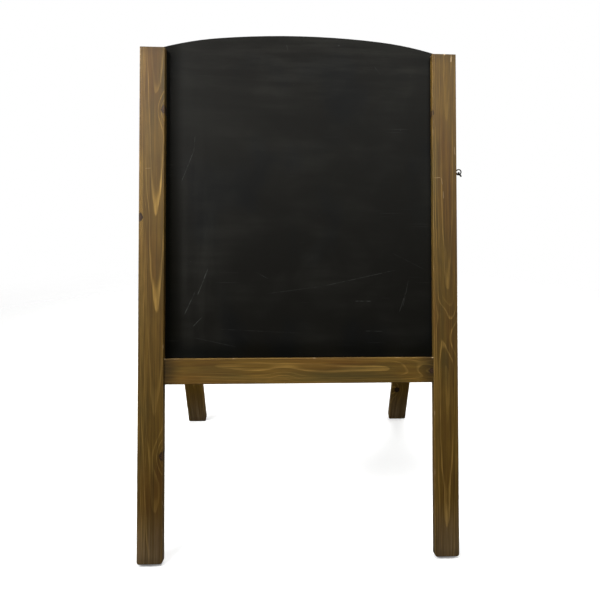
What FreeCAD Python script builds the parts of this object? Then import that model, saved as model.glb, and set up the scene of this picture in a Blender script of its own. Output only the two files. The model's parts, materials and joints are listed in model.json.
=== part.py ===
import FreeCAD, Part
import os
import Sketcher
from math import sqrt

# A folding A-frame chalkboard easel of planed pine, in millimetres.
# The front frame carries the arched board, the rear frame is a plain support, two butt hinges
# join them at the top, and a cabin hook on the right-hand side holds them open.
# +X is the viewer's right, +Y the back, +Z up; the origin is on the floor, midway between the
# side faces and midway between the two frames.
#
# Each frame is drawn upright in its own local frame: x as above, z along the posts from their
# feet, y = 0 the plane of the hinge axis. The front frame lies at y < 0, the rear frame at y > 0.
# Its Placement then leans it about the hinge axis to the open position.

dimensions = {
    # Sticks and the A shape
    "frame_width": 600,
    "post_width": 46.5,
    "post_thickness": 20,
    "post_length": 960,
    "foot_corner_radius": 5,
    "stick_edge_radius": 1.5,
    "lean_angle": 17,
    "half_gap": 2,
    # Rails, all of one section thickness, flush with the sticks' inner faces
    "rail_thickness": 16,
    "lower_rail_bottom": 328,
    "lower_rail_height": 48,
    "top_rail_drop": 12,
    "top_rail_height": 45,
    "dowel_radius": 3,
    "dowel_length": 40,
    "dowel_pitch": 24,
    "dowel_hole_depth": 21,
    # Board: a panel in a rebate, its top edge a flat arc between two rounder ones
    "board_thickness": 5,
    "rebate_width": 10,
    "arch_rise": 34,
    "arch_middle_radius": 1560,
    "arch_middle_half_width": 155,
    "arch_end_radius": 610,
    "board_edge_radius": 1,
    "board_screw_radius": 1.5,
    "board_screw_length": 12,
    "board_screw_head_radius": 3,
    "board_screw_crown_radius": 2.25,
    "board_screw_head_height": 1.4,
    "board_screw_inset": 30,
    # Butt hinges
    "hinge_length": 32,
    "hinge_rise": 3.2,
    "hinge_leaf_thickness": 1.5,
    "hinge_leaf_depth": 26,
    "knuckle_radius": 2.75,
    "knuckle_gap": 0.2,
    "knuckle_clearance": 0.35,
    "hinge_pin_radius": 1.5,
    "hinge_running_clearance": 0.05,
    "hinge_screw_radius": 1.5,
    "hinge_screw_head_radius": 2.8,
    "hinge_screw_length": 14,
    "hinge_screw_spacing": 20,
    "hinge_screw_stagger": 9,
    "recess_length": 3,
    "recess_width": 0.7,
    "recess_depth": 1,
    # Cabin hook and its two screw eyes
    "eye_drop": 227,
    "eye_ring_radius": 5,
    "wire_radius": 1.1,
    "eye_shank_radius": 1.3,
    "eye_shank_depth": 16,
    "loop_radius": 4.6,
    "loop_angle": 55,
    "tip_clearance": 0.3,
    "bend_radius": 3.2,
    "tip_reach": 2.1,
    # How far a cutting shape runs past the face that it opens
    "overcut": 1,
}
thin = 0.01  # an edge whose box is thinner than this lies square to that direction

innerX = "(Sizes.frame_width / 2 - Sizes.post_width)"
outerX = "(Sizes.frame_width / 2)"
boardHalf = "(Sizes.frame_width / 2 - Sizes.post_width + Sizes.rebate_width)"
lowerRailTop = "(Sizes.lower_rail_bottom + Sizes.lower_rail_height)"
boardBottom = "(Sizes.lower_rail_bottom + Sizes.lower_rail_height - Sizes.rebate_width)"
topRailTop = "(Sizes.post_length - Sizes.top_rail_drop)"
axisHeight = "(Sizes.post_length + Sizes.hinge_rise)"
eyeHeight = "(Sizes.post_length - Sizes.eye_drop)"
stickMiddle = "(Sizes.half_gap + Sizes.post_thickness / 2)"
dowelMiddle = "(Sizes.half_gap + (Sizes.board_thickness + Sizes.rail_thickness) / 2)"
hingeX = "(Sizes.frame_width / 2 - (Sizes.post_width - Sizes.rebate_width) / 2)"
lean = "Sizes.lean_angle"
footToAxisOut = f"({axisHeight} * sin({lean}))"
hingeHeight = f"({axisHeight} * cos({lean}) - Sizes.half_gap * sin({lean}))"
eyeDropFromAxis = "(Sizes.eye_drop + Sizes.hinge_rise)"
eyeOut = f"({eyeDropFromAxis} * sin({lean}) + {stickMiddle} * cos({lean}))"
eyeUp = f"({hingeHeight} - {eyeDropFromAxis} * cos({lean}) + {stickMiddle} * sin({lean}))"
eyeX = "(Sizes.frame_width / 2 + Sizes.eye_ring_radius + Sizes.wire_radius)"

left, right = -1, 1
front, rear = -1, 1
frontName = {front: "front", rear: "rear"}

doc = FreeCAD.newDocument("Easel")
sheet = doc.addObject("Spreadsheet::Sheet", "Sizes")
for row, (alias, number) in enumerate(dimensions.items(), start=1):
    sheet.set(f"A{row}", alias)
    sheet.set(f"B{row}", str(number))
    sheet.setAlias(f"B{row}", alias)
doc.recompute()

nodes = []


def value(expression):
    return float(sheet.evalExpression(expression))


def signed(side, expression):
    return expression if side > 0 else f"-({expression})"


def bind(thing, **expressions):
    for path, expression in expressions.items():
        thing.setExpression(path.replace("_", "."), str(expression))


def place(thing, x="0", y="0", z="0", axis=(0, 0, 1), angle=0):
    thing.Placement = FreeCAD.Placement(FreeCAD.Vector(), FreeCAD.Vector(*axis), angle)
    bind(thing, Placement_Base_x=x, Placement_Base_y=y, Placement_Base_z=z)


def addNode(thing, label):
    thing.Label = label
    nodes.append(thing)
    return thing


def leanFrame(thing, frame):
    # Stand a piece of one frame in the open easel: turned about X, feet apart
    place(thing, "0", signed(frame, footToAxisOut), f"-Sizes.half_gap * sin({lean})", (frame, 0, 0), 0)
    thing.setExpression("Placement.Rotation.Angle", lean)


# Sketcher helpers

def originPlane(body, role):
    return next(item for item in body.Origin.OriginFeatures if item.Role == role)


def newSketch(body, name, role, offset):
    sketch = body.newObject("Sketcher::SketchObject", name)
    sketch.AttachmentSupport = [(originPlane(body, role), "")]
    sketch.MapMode = "FlatFace"
    sketch.setExpression("AttachmentOffset.Base.z", offset)
    return sketch


def fixPoint(sketch, geometry, point, x=None, y=None):
    for kind, expression in (("DistanceX", x), ("DistanceY", y)):
        if expression is None:
            continue
        number = value(expression)
        if abs(number) < 1e-9:
            axis = -2 if kind == "DistanceX" else -1
            sketch.addConstraint(Sketcher.Constraint("PointOnObject", geometry, point, axis))
            continue
        index = sketch.addConstraint(Sketcher.Constraint(kind, -1, 1, geometry, point, number))
        sketch.setExpression(f"Constraints[{index}]", expression)


def fixRadius(sketch, geometry, expression):
    index = sketch.addConstraint(Sketcher.Constraint("Radius", geometry, value(expression)))
    sketch.setExpression(f"Constraints[{index}]", expression)


def addRectangle(sketch, low, bottom, high, top):
    x0, y0, x1, y1 = (value(edge) for edge in (low, bottom, high, top))
    corners = [FreeCAD.Vector(*xy) for xy in ((x0, y0), (x1, y0), (x1, y1), (x0, y1))]
    first = sketch.GeometryCount
    for i in range(4):
        sketch.addGeometry(Part.LineSegment(corners[i], corners[(i + 1) % 4]), False)
    for i in range(4):
        joint = Sketcher.Constraint("Coincident", first + i, 2, first + (i + 1) % 4, 1)
        sketch.addConstraint(joint)
        level = "Horizontal" if i % 2 == 0 else "Vertical"
        sketch.addConstraint(Sketcher.Constraint(level, first + i))
    fixPoint(sketch, first, 1, low, bottom)
    fixPoint(sketch, first + 2, 1, high, top)


def addCircles(sketch, centres, radius):
    for x, y in centres:
        centre = FreeCAD.Vector(value(x), value(y))
        circle = Part.Circle(centre, FreeCAD.Vector(0, 0, 1), value(radius))
        index = sketch.addGeometry(circle, False)
        fixPoint(sketch, index, 3, x, y)
        fixRadius(sketch, index, radius)


# PartDesign helpers

def pad(body, name, sketch, length):
    feature = body.newObject("PartDesign::Pad", name)
    feature.Profile = sketch
    bind(feature, Length=length)
    doc.recompute()
    return feature


def pocket(body, name, sketch, depth, alongNormal):
    before = body.Shape.Volume
    feature = body.newObject("PartDesign::Pocket", name)
    feature.Profile = sketch
    feature.Reversed = alongNormal
    bind(feature, Length=depth)
    doc.recompute()
    if not body.Shape.Volume < before - thin:
        raise RuntimeError(f"{body.Name}: {name} removes nothing")
    return feature


def fillet(body, name, radius, wanted):
    base = body.Tip
    edges = [
        f"Edge{number}"
        for number, edge in enumerate(base.Shape.Edges, start=1)
        if wanted(edge.BoundBox)
    ]
    feature = body.newObject("PartDesign::Fillet", name)
    feature.Base = (base, edges)
    bind(feature, Radius=radius)
    doc.recompute()
    return feature


def drillInward(body, name, frame, depth, centres, radius, start="Sizes.half_gap"):
    # Blind holes that start on a frame's inner face and go towards its outer face
    sketch = newSketch(body, name + "_sketch", "XZ_Plane", signed(-frame, start))
    addCircles(sketch, centres, radius)
    pocket(body, name, sketch, depth, frame == front)


def drillSideways(body, name, x, depth, centres, radius, towards):
    # Blind holes that start on a side face at x and go along X
    sketch = newSketch(body, name + "_sketch", "YZ_Plane", x)
    addCircles(sketch, centres, radius)
    pocket(body, name, sketch, depth, towards > 0)


# Part helpers

def primitive(kind, name, **sizes):
    thing = doc.addObject(f"Part::{kind}", name)
    bind(thing, **sizes)
    return thing


def fuse(name, pieces):
    thing = doc.addObject("Part::MultiFuse", name)
    thing.Shapes = pieces
    thing.Refine = True
    return thing


def cut(name, base, tool):
    thing = doc.addObject("Part::Cut", name)
    thing.Base = base
    thing.Tool = tool
    thing.Refine = True
    return thing


def group(name, pieces):
    thing = doc.addObject("Part::Compound", name)
    thing.Links = pieces
    return thing


def copies(name, original, places, angle):
    # Links to one original, each turned about X and set at its own place
    links = []
    for number, (x, y, z) in enumerate(places, start=1):
        link = doc.addObject("App::Link", f"{name}_{number}")
        link.LinkedObject = original
        link.LinkTransform = True
        place(link, x, y, z, (1, 0, 0), angle)
        links.append(link)
    return links


# Where the small fasteners go, in a frame's local x and z

def dowelCentres(railBottom, railHeight):
    middle = f"({railBottom} + {railHeight} / 2)"
    return [f"({middle} + {step} * Sizes.dowel_pitch / 2)" for step in (-1, 1)]


rails = {
    "lower": ("Sizes.lower_rail_bottom", "Sizes.lower_rail_height"),
    "top": (f"({topRailTop} - Sizes.top_rail_height)", "Sizes.top_rail_height"),
}
frameRails = {front: ["lower"], rear: ["lower", "top"]}


def dowelHeights(frame):
    return [z for rail in frameRails[frame] for z in dowelCentres(*rails[rail])]


def hingeScrewCentres(side):
    # Three screws in each leaf, staggered so that they don't split one line of grain
    middle = signed(side, hingeX)
    height = f"({axisHeight} - Sizes.hinge_leaf_depth / 2 - Sizes.knuckle_radius)"
    spots = []
    for step in (-1, 0, 1):
        x = f"({middle} + {step} * Sizes.hinge_screw_spacing / 2)"
        z = f"({height} + {1 - 2 * abs(step)} * Sizes.hinge_screw_stagger / 2)"
        spots.append((x, z))
    return spots


boardSideScrews = 4
boardBottomScrews = 3


def boardSideScrewCentres(side):
    x = signed(side, f"({boardHalf} - Sizes.rebate_width / 2)")
    run = f"(Sizes.post_length - {boardBottom} - 2 * Sizes.board_screw_inset)"
    start = f"{boardBottom} + Sizes.board_screw_inset"
    steps = boardSideScrews - 1
    return [(x, f"({start} + {run} * {number} / {steps})") for number in range(boardSideScrews)]


def boardBottomScrewCentres():
    z = f"({boardBottom} + Sizes.rebate_width / 2)"
    run = f"(2 * ({innerX} - Sizes.board_screw_inset))"
    steps = boardBottomScrews - 1
    return [(f"({run} * {number / steps - 0.5})", z) for number in range(boardBottomScrews)]


# Sticks: the front posts and rear legs

def makeStick(label, frame, side):
    body = doc.addObject("PartDesign::Body", label)
    near = "Sizes.half_gap" if frame == front else "-Sizes.half_gap - Sizes.post_thickness"
    sketch = newSketch(body, label + "_outline", "XZ_Plane", near)
    low, high = sorted((signed(side, innerX), signed(side, outerX)), key=value)
    addRectangle(sketch, low, "0", high, "Sizes.post_length")
    pad(body, label + "_stick", sketch, "Sizes.post_thickness")
    fillet(body, label + "_foot", "Sizes.foot_corner_radius",
           lambda box: box.YLength > thin and box.ZMax < thin)
    fillet(body, label + "_edges", "Sizes.stick_edge_radius", lambda box: box.YLength < thin)
    drillSideways(body, label + "_dowel_holes", signed(side, innerX), "Sizes.dowel_hole_depth",
                  [(signed(frame, dowelMiddle), z) for z in dowelHeights(frame)],
                  "Sizes.dowel_radius", side)
    drillInward(body, label + "_hinge_holes", frame,
                "Sizes.hinge_screw_length - Sizes.hinge_leaf_thickness",
                hingeScrewCentres(side), "Sizes.hinge_screw_radius")
    if side == right:
        drillSideways(body, label + "_eye_hole", outerX, "Sizes.eye_shank_depth",
                      [(signed(frame, stickMiddle), eyeHeight)], "Sizes.eye_shank_radius", left)
    return body


def rebateStick(body, side):
    # The board's rebate runs from the lower rail out through the top end
    sketch = newSketch(body, body.Name + "_rebate_sketch", "XY_Plane", boardBottom)
    low, high = sorted((signed(side, f"({innerX} - Sizes.overcut)"), signed(side, boardHalf)), key=value)
    addRectangle(sketch, low, "-Sizes.half_gap - Sizes.board_thickness", high, "0")
    pocket(body, body.Name + "_rebate", sketch,
           f"Sizes.post_length - {boardBottom} + Sizes.overcut", True)
    drillInward(body, body.Name + "_board_screw_holes", front,
                "Sizes.board_screw_length - Sizes.board_thickness",
                boardSideScrewCentres(side), "Sizes.board_screw_radius",
                "(Sizes.half_gap + Sizes.board_thickness)")


for side, sideName in ((left, "left"), (right, "right")):
    post = makeStick(f"front_post_{sideName}", front, side)
    rebateStick(post, side)
    leanFrame(addNode(post, f"front_post_{sideName}"), front)
    leg = makeStick(f"rear_leg_{sideName}", rear, side)
    leanFrame(addNode(leg, f"rear_leg_{sideName}"), rear)


# Rails, doweled between the sticks

def makeRail(label, frame, bottom, height):
    body = doc.addObject("PartDesign::Body", label)
    near = "Sizes.half_gap" if frame == front else "-Sizes.half_gap - Sizes.rail_thickness"
    sketch = newSketch(body, label + "_outline", "XZ_Plane", near)
    addRectangle(sketch, f"-{innerX}", bottom, innerX, f"{bottom} + {height}")
    pad(body, label + "_stick", sketch, "Sizes.rail_thickness")
    outerFace = frame * value("Sizes.half_gap + Sizes.rail_thickness")
    fillet(body, label + "_edges", "Sizes.stick_edge_radius",
           lambda box: box.XLength > thin and abs(box.Center.y - outerFace) < thin)
    for side in (left, right):
        drillSideways(body, f"{label}_dowel_holes_{side + 1}", signed(side, innerX),
                      "Sizes.dowel_hole_depth",
                      [(signed(frame, dowelMiddle), z) for z in dowelCentres(bottom, height)],
                      "Sizes.dowel_radius", -side)
    return body


def rebateRail(body):
    sketch = newSketch(body, body.Name + "_rebate_sketch", "YZ_Plane", innerX)
    addRectangle(sketch, "-Sizes.half_gap - Sizes.board_thickness", boardBottom,
                 "0", f"{lowerRailTop} + Sizes.overcut")
    pocket(body, body.Name + "_rebate", sketch, f"2 * {innerX}", False)
    drillInward(body, body.Name + "_board_screw_holes", front,
                "Sizes.board_screw_length - Sizes.board_thickness",
                boardBottomScrewCentres(), "Sizes.board_screw_radius",
                "(Sizes.half_gap + Sizes.board_thickness)")


frontRail = makeRail("front_rail", front, *rails["lower"])
rebateRail(frontRail)
leanFrame(addNode(frontRail, "front_rail"), front)
for rail in frameRails[rear]:
    rearRail = makeRail(f"rear_{rail}_rail", rear, *rails[rail])
    leanFrame(addNode(rearRail, f"rear_{rail}_rail"), rear)


def makeDowels(frame):
    dowels = []
    for side in (left, right):
        for z in dowelHeights(frame):
            name = f"{frontName[frame]}_dowel_{len(dowels) + 1}"
            dowel = primitive("Cylinder", name, Radius="Sizes.dowel_radius",
                              Height="Sizes.dowel_length")
            start = f"{signed(side, innerX)} - Sizes.dowel_length / 2"
            place(dowel, start, signed(frame, dowelMiddle), z, (0, 1, 0), 90)
            dowels.append(dowel)
    return group(f"{frontName[frame]}_dowel_set", dowels)


for frame in (front, rear):
    leanFrame(addNode(makeDowels(frame), f"{frontName[frame]}_dowels"), frame)


# The board

def makeBoard():
    body = doc.addObject("PartDesign::Body", "front_board")
    sketch = newSketch(body, "board_outline", "XZ_Plane", "Sizes.half_gap")
    half = value(boardHalf)
    bottom = value(boardBottom)
    apex = value("Sizes.post_length + Sizes.arch_rise")
    middleRadius = value("Sizes.arch_middle_radius")
    endRadius = value("Sizes.arch_end_radius")
    joinX = value("Sizes.arch_middle_half_width")
    middleZ = apex - middleRadius
    joinZ = middleZ + sqrt(middleRadius ** 2 - joinX ** 2)
    # The end arcs' centres lie on the line from the join to the middle arc's centre
    shrink = endRadius / middleRadius
    endX = joinX * (1 - shrink)
    endZ = joinZ - (joinZ - middleZ) * shrink
    cornerZ = endZ + sqrt(endRadius ** 2 - (half - endX) ** 2)

    def point(x, z):
        return FreeCAD.Vector(x, z)

    def arc(centre, radius, start, end):
        circle = Part.Circle(centre, FreeCAD.Vector(0, 0, 1), radius)
        return Part.ArcOfCircle(circle, circle.parameter(start), circle.parameter(end))

    outline = [
        Part.LineSegment(point(-half, cornerZ), point(-half, bottom)),
        Part.LineSegment(point(-half, bottom), point(half, bottom)),
        Part.LineSegment(point(half, bottom), point(half, cornerZ)),
        arc(point(endX, endZ), endRadius, point(half, cornerZ), point(joinX, joinZ)),
        arc(point(0, middleZ), middleRadius, point(joinX, joinZ), point(-joinX, joinZ)),
        arc(point(-endX, endZ), endRadius, point(-joinX, joinZ), point(-half, cornerZ)),
    ]
    sketch.addGeometry(outline, False)
    leftEdge, bottomEdge, rightEdge, rightArc, middleArc, leftArc = range(6)
    for first, second in ((leftEdge, bottomEdge), (bottomEdge, rightEdge),
                          (rightEdge, rightArc), (leftArc, leftEdge)):
        sketch.addConstraint(Sketcher.Constraint("Coincident", first, 2, second, 1))
    for first, second in ((rightArc, middleArc), (middleArc, leftArc)):
        sketch.addConstraint(Sketcher.Constraint("Tangent", first, 2, second, 1))
    sketch.addConstraint(Sketcher.Constraint("Vertical", leftEdge))
    sketch.addConstraint(Sketcher.Constraint("Horizontal", bottomEdge))
    sketch.addConstraint(Sketcher.Constraint("Vertical", rightEdge))
    fixPoint(sketch, bottomEdge, 1, f"-{boardHalf}", boardBottom)
    fixPoint(sketch, bottomEdge, 2, boardHalf)
    fixPoint(sketch, middleArc, 3, "0",
             "Sizes.post_length + Sizes.arch_rise - Sizes.arch_middle_radius")
    fixPoint(sketch, middleArc, 1, "Sizes.arch_middle_half_width")
    fixPoint(sketch, middleArc, 2, "-Sizes.arch_middle_half_width")
    fixRadius(sketch, middleArc, "Sizes.arch_middle_radius")
    fixRadius(sketch, rightArc, "Sizes.arch_end_radius")
    fixRadius(sketch, leftArc, "Sizes.arch_end_radius")
    pad(body, "board_panel", sketch, "Sizes.board_thickness")
    archFoot = value("Sizes.post_length")
    fillet(body, "board_arch_edge", "Sizes.board_edge_radius",
           lambda box: box.YLength < thin < box.XLength and box.ZMin > archFoot)
    holes = boardSideScrewCentres(left) + boardSideScrewCentres(right) + boardBottomScrewCentres()
    drillInward(body, "board_screw_holes", front, "Sizes.board_thickness + Sizes.overcut",
                holes, "Sizes.board_screw_radius")
    return body


leanFrame(addNode(makeBoard(), "front_board"), front)


# Screws: each kind is made once, pointing down from a head whose underside or top is at z = 0

def makeRecess(name, top):
    # A cross recess, cut down from the top of a head
    bars = []
    for number, (length, width) in enumerate((("length", "width"), ("width", "length"))):
        bar = primitive("Box", f"{name}_bar_{number}", Length=f"Sizes.recess_{length}",
                        Width=f"Sizes.recess_{width}", Height="Sizes.recess_depth + Sizes.overcut")
        place(bar, f"-Sizes.recess_{length} / 2", f"-Sizes.recess_{width} / 2",
              f"{top} - Sizes.recess_depth")
        bars.append(bar)
    return fuse(name, bars)


def makeBoardScrew():
    shank = primitive("Cylinder", "board_screw_shank", Radius="Sizes.board_screw_radius",
                      Height="Sizes.board_screw_length")
    place(shank, z="-Sizes.board_screw_length")
    head = primitive("Cone", "board_screw_head", Radius1="Sizes.board_screw_head_radius",
                     Radius2="Sizes.board_screw_crown_radius",
                     Height="Sizes.board_screw_head_height")
    return cut("board_screw", fuse("board_screw_blank", [shank, head]),
               makeRecess("board_screw_recess", "Sizes.board_screw_head_height"))


def sinkHead(name):
    head = primitive("Cone", name, Radius1="Sizes.hinge_screw_radius",
                     Radius2="Sizes.hinge_screw_head_radius", Height="Sizes.hinge_leaf_thickness")
    place(head, z="-Sizes.hinge_leaf_thickness")
    return head


def makeHingeScrew():
    shank = primitive("Cylinder", "hinge_screw_shank", Radius="Sizes.hinge_screw_radius",
                      Height="Sizes.hinge_screw_length - Sizes.hinge_leaf_thickness")
    place(shank, z="-Sizes.hinge_screw_length")
    return cut("hinge_screw", fuse("hinge_screw_blank", [shank, sinkHead("hinge_screw_head")]),
               makeRecess("hinge_screw_recess", "0"))


def makeBoardScrews():
    holes = boardSideScrewCentres(left) + boardSideScrewCentres(right) + boardBottomScrewCentres()
    places = [(x, "-Sizes.half_gap", z) for x, z in holes]
    return group("board_screw_set", copies("board_screw_copy", makeBoardScrew(), places, -90))


leanFrame(addNode(makeBoardScrews(), "board_screws"), front)
hingeScrew = makeHingeScrew()
leafFace = "(Sizes.half_gap - Sizes.hinge_leaf_thickness)"
for frame in (front, rear):
    name = f"hinge_{frontName[frame]}_screws"
    holes = hingeScrewCentres(left) + hingeScrewCentres(right)
    places = [(x, signed(frame, leafFace), z) for x, z in holes]
    screws = group(name + "_set", copies(name + "_copy", hingeScrew, places, 90 * frame))
    leanFrame(addNode(screws, name), frame)


# Butt hinges: five knuckles, three on the front leaf and two on the rear one

knuckleCount = 5


def makeLeaf(name, frame, side):
    start = f"({signed(side, hingeX)} - Sizes.hinge_length / 2)"
    pitch = f"(Sizes.hinge_length / {knuckleCount})"
    plateY = leafFace if frame == rear else "-Sizes.half_gap"
    shoulder = f"({axisHeight} - Sizes.knuckle_radius - Sizes.knuckle_clearance)"
    foot = f"({axisHeight} - Sizes.hinge_leaf_depth - Sizes.knuckle_radius)"
    plate = primitive("Box", name + "_plate", Length="Sizes.hinge_length",
                      Width="Sizes.hinge_leaf_thickness", Height=f"{shoulder} - {foot}")
    place(plate, start, plateY, foot)
    pieces = [plate]
    for number in range(0 if frame == front else 1, knuckleCount, 2):
        x = f"({start} + {number} * {pitch} + Sizes.knuckle_gap / 2)"
        knuckle = primitive("Cylinder", f"{name}_knuckle_{number}",
                            Radius="Sizes.knuckle_radius", Height=f"{pitch} - Sizes.knuckle_gap")
        place(knuckle, x, "0", axisHeight, (0, 1, 0), 90)
        neck = primitive("Box", f"{name}_neck_{number}", Length=f"{pitch} - Sizes.knuckle_gap",
                         Width="Sizes.hinge_leaf_thickness", Height=f"{axisHeight} - {shoulder}")
        place(neck, x, plateY, shoulder)
        pieces += [knuckle, neck]
    clearance = "0" if frame == front else "Sizes.hinge_running_clearance"
    bore = primitive("Cylinder", name + "_bore", Radius=f"Sizes.hinge_pin_radius + {clearance}",
                     Height="Sizes.hinge_length + 2 * Sizes.overcut")
    place(bore, f"{start} - Sizes.overcut", "0", axisHeight, (0, 1, 0), 90)
    sink = sinkHead(name + "_sink")
    places = [(x, signed(frame, leafFace), z) for x, z in hingeScrewCentres(side)]
    sinks = copies(name + "_sink_copy", sink, places, 90 * frame)
    return cut(name + "_leaf", fuse(name + "_blank", pieces), fuse(name + "_holes", [bore] + sinks))


def makePin(name, side):
    pin = primitive("Cylinder", name + "_wire", Radius="Sizes.hinge_pin_radius",
                    Height="Sizes.hinge_length")
    place(pin, f"{signed(side, hingeX)} - Sizes.hinge_length / 2", "0", axisHeight, (0, 1, 0), 90)
    return pin


for side, sideName in ((left, "left"), (right, "right")):
    for frame in (front, rear):
        label = f"hinge_{sideName}_{frontName[frame]}_leaf"
        leanFrame(addNode(makeLeaf(label, frame, side), label), frame)
    label = f"hinge_{sideName}_pin"
    # The pin lies on the axis that both frames lean about, so its group carries the lean
    leanFrame(addNode(group(label + "_set", [makePin(label, side)]), label), front)


# Cabin hook: two screw eyes on the right-hand side and the wire hook between them

def makeEye(name, ringAxis, ringAngle):
    ring = primitive("Torus", name + "_ring", Radius1="Sizes.eye_ring_radius",
                     Radius2="Sizes.wire_radius")
    place(ring, axis=ringAxis, angle=ringAngle)
    shank = primitive("Cylinder", name + "_shank", Radius="Sizes.eye_shank_radius",
                      Height="Sizes.eye_shank_depth + Sizes.wire_radius")
    place(shank, "-Sizes.eye_ring_radius - Sizes.wire_radius - Sizes.eye_shank_depth",
          axis=(0, 1, 0), angle=90)
    return fuse(name + "_wire", [ring, shank])


frontEye = addNode(makeEye("front_eye", (1, 0, 0), 90), "stay_front_eye")
place(frontEye, eyeX, f"-{eyeOut}", eyeUp)
rearEye = addNode(makeEye("rear_eye", (1, 0, 0), 0), "stay_rear_eye")
place(rearEye, eyeX, eyeOut, eyeUp)


def makeHook():
    # Drawn about the loop's centre, which sits on the front ring's wire, low on its outer side
    reachX = value("Sizes.eye_ring_radius * cos(Sizes.loop_angle)")
    reachZ = value("-Sizes.eye_ring_radius * sin(Sizes.loop_angle)")
    eyeGap = 2 * value(eyeOut)
    bend = value("Sizes.bend_radius")
    holeRadius = value("Sizes.eye_ring_radius - Sizes.wire_radius")
    tipY = eyeGap - holeRadius + value("Sizes.wire_radius + Sizes.tip_clearance")
    loopCentre = FreeCAD.Vector()
    rodEnd = FreeCAD.Vector(-reachX, tipY - bend, bend - reachZ)
    along = rodEnd.sub(loopCentre)
    along.normalize()
    rodStart = along * value("Sizes.loop_radius")

    loop = primitive("Torus", "hook_loop", Radius1="Sizes.loop_radius",
                     Radius2="Sizes.wire_radius")
    loop.Placement = FreeCAD.Placement(
        loopCentre, FreeCAD.Rotation(FreeCAD.Vector(0, 1, 0), value("Sizes.loop_angle")))
    rod = primitive("Cylinder", "hook_rod", Radius="Sizes.wire_radius")
    rod.Height = rodEnd.sub(rodStart).Length
    rod.Placement = FreeCAD.Placement(
        rodStart, FreeCAD.Rotation(FreeCAD.Vector(0, 0, 1), along))
    shoulder = primitive("Sphere", "hook_shoulder", Radius="Sizes.wire_radius")
    shoulder.Placement.Base = rodEnd
    corner = primitive("Torus", "hook_bend", Radius1="Sizes.bend_radius",
                       Radius2="Sizes.wire_radius")
    corner.Angle3 = 90
    corner.Placement = FreeCAD.Placement(
        FreeCAD.Vector(-reachX, tipY - bend, -reachZ),
        FreeCAD.Rotation(FreeCAD.Vector(0, 1, 0), FreeCAD.Vector(0, 0, 1),
                         FreeCAD.Vector(1, 0, 0), "ZXY"))
    leg = primitive("Cylinder", "hook_leg", Radius="Sizes.wire_radius", Height="Sizes.tip_reach")
    leg.Placement.Base = FreeCAD.Vector(-reachX, tipY, -reachZ - value("Sizes.tip_reach"))
    tip = primitive("Sphere", "hook_tip", Radius="Sizes.wire_radius")
    tip.Placement.Base = leg.Placement.Base
    return fuse("hook_wire", [loop, rod, shoulder, corner, leg, tip])


hook = addNode(makeHook(), "stay_hook")
place(hook, f"{eyeX} + Sizes.eye_ring_radius * cos(Sizes.loop_angle)", f"-{eyeOut}",
      f"{eyeUp} - Sizes.eye_ring_radius * sin(Sizes.loop_angle)")


# Check everything, then write one file for each piece

doc.recompute()
for thing in doc.Objects:
    if "Invalid" in thing.State or "Error" in thing.State:
        raise RuntimeError(f"{thing.Name} failed: {thing.State}")
for node in nodes:
    if node.Shape.isNull() or not node.Shape.isValid() or not node.Shape.Solids:
        raise RuntimeError(f"{node.Label} has no sound solid")

os.makedirs("parts", exist_ok=True)
for node in nodes:
    node.Shape.exportStep(f"parts/{node.Label}.step")
print(f"{len(nodes)} nodes written")
print(f"hinge axis at height {value(hingeHeight):.2f}")
print(f"hook pivot at {hook.Placement.Base}")
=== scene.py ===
import json
from math import atan2, cos, hypot, pi, radians, sin

import bpy
from mathutils import Matrix, Vector

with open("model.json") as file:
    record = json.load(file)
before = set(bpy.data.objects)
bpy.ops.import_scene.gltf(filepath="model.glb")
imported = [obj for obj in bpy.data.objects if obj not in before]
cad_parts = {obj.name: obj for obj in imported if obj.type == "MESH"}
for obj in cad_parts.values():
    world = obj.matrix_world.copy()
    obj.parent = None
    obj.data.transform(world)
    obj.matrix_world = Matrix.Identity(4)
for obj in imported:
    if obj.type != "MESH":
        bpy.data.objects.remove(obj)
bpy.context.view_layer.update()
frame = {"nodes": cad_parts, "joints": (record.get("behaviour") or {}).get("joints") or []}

# Folding chalkboard easel: finishes for the pine sticks, the board and the small metal parts,
# then the studio round them. Metres, +X to the viewer's right, +Y to the back, +Z up.

nodes = frame["nodes"]
fold = next(joint for joint in frame["joints"] if joint["name"] == "fold")
hingeAxis = Vector(fold["pos_m"])
leanAngle = radians(fold["range_deg"][1] / 2)   # each frame leans by half of the fold
front, rear = -1, 1
print("frame loaded,", len(nodes), "CAD pieces")


# Short calls for shader nodes
def addNode(tree, kind, inputs=None, **settings):
    node = tree.nodes.new("ShaderNode" + kind)
    for name, setting in settings.items():
        setattr(node, name, setting)
    for name, source in (inputs or {}).items():
        if isinstance(source, bpy.types.NodeSocket):
            tree.links.new(source, node.inputs[name])
        else:
            node.inputs[name].default_value = source
    return node


def calc(tree, operation, *terms, clamp=False):
    inputs = dict(enumerate(terms))
    return addNode(tree, "Math", inputs, operation=operation, use_clamp=clamp).outputs[0]


def chain(tree, operation, terms):
    result = terms[0]
    for term in terms[1:]:
        result = calc(tree, operation, result, term)
    return result


def fade(tree, source, start, end, low=0.0, high=1.0):
    # smooth step from low at start to high at end; start may be above end
    if start > end:
        start, end, low, high = end, start, high, low
    inputs = {"Value": source, "From Min": start, "From Max": end, "To Min": low, "To Max": high}
    return addNode(tree, "MapRange", inputs, interpolation_type="SMOOTHSTEP").outputs["Result"]


def stretch(tree, vector, x, y, z, turn=0.0):
    inputs = {"Vector": vector, "Scale": (x, y, z), "Rotation": (0, turn, 0)}
    return addNode(tree, "Mapping", inputs, vector_type="POINT").outputs["Vector"]


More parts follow.
